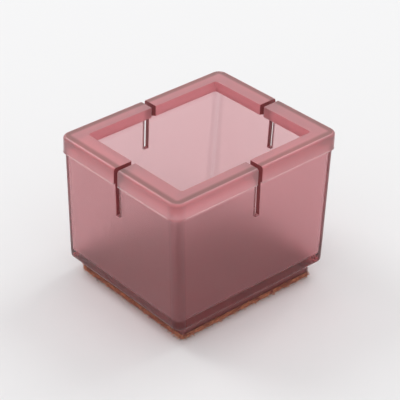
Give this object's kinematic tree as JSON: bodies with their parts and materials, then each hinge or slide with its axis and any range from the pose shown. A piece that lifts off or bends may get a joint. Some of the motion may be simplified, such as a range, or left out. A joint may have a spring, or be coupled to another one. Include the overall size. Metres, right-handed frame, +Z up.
{
  "type": "chair leg cap",
  "caption": "Rectangular slip-on chair leg cap: a soft translucent moulded cup with a proud collar, an inward gripping lip and slit walls, standing on a felt pad.",
  "frame": {"origin": "middle of the felt's underside, on the floor that the cap stands on", "axes": "+X along the long side, +Y along the short side, +Z up out of the cup's mouth"},
  "size_m": [0.0428, 0.0358, 0.0337],
  "materials": {
    "cup": "soft wine-pink elastomer, translucent and lightly frosted",
    "film": "thin double-sided adhesive film",
    "felt": "rust-brown needle felt with loose fibres at its edges"
  },
  "bodies": {
    "root": {"moulded_cup": "cup", "adhesive_film": "film", "felt_pad": "felt"}
  },
  "joints": []
}
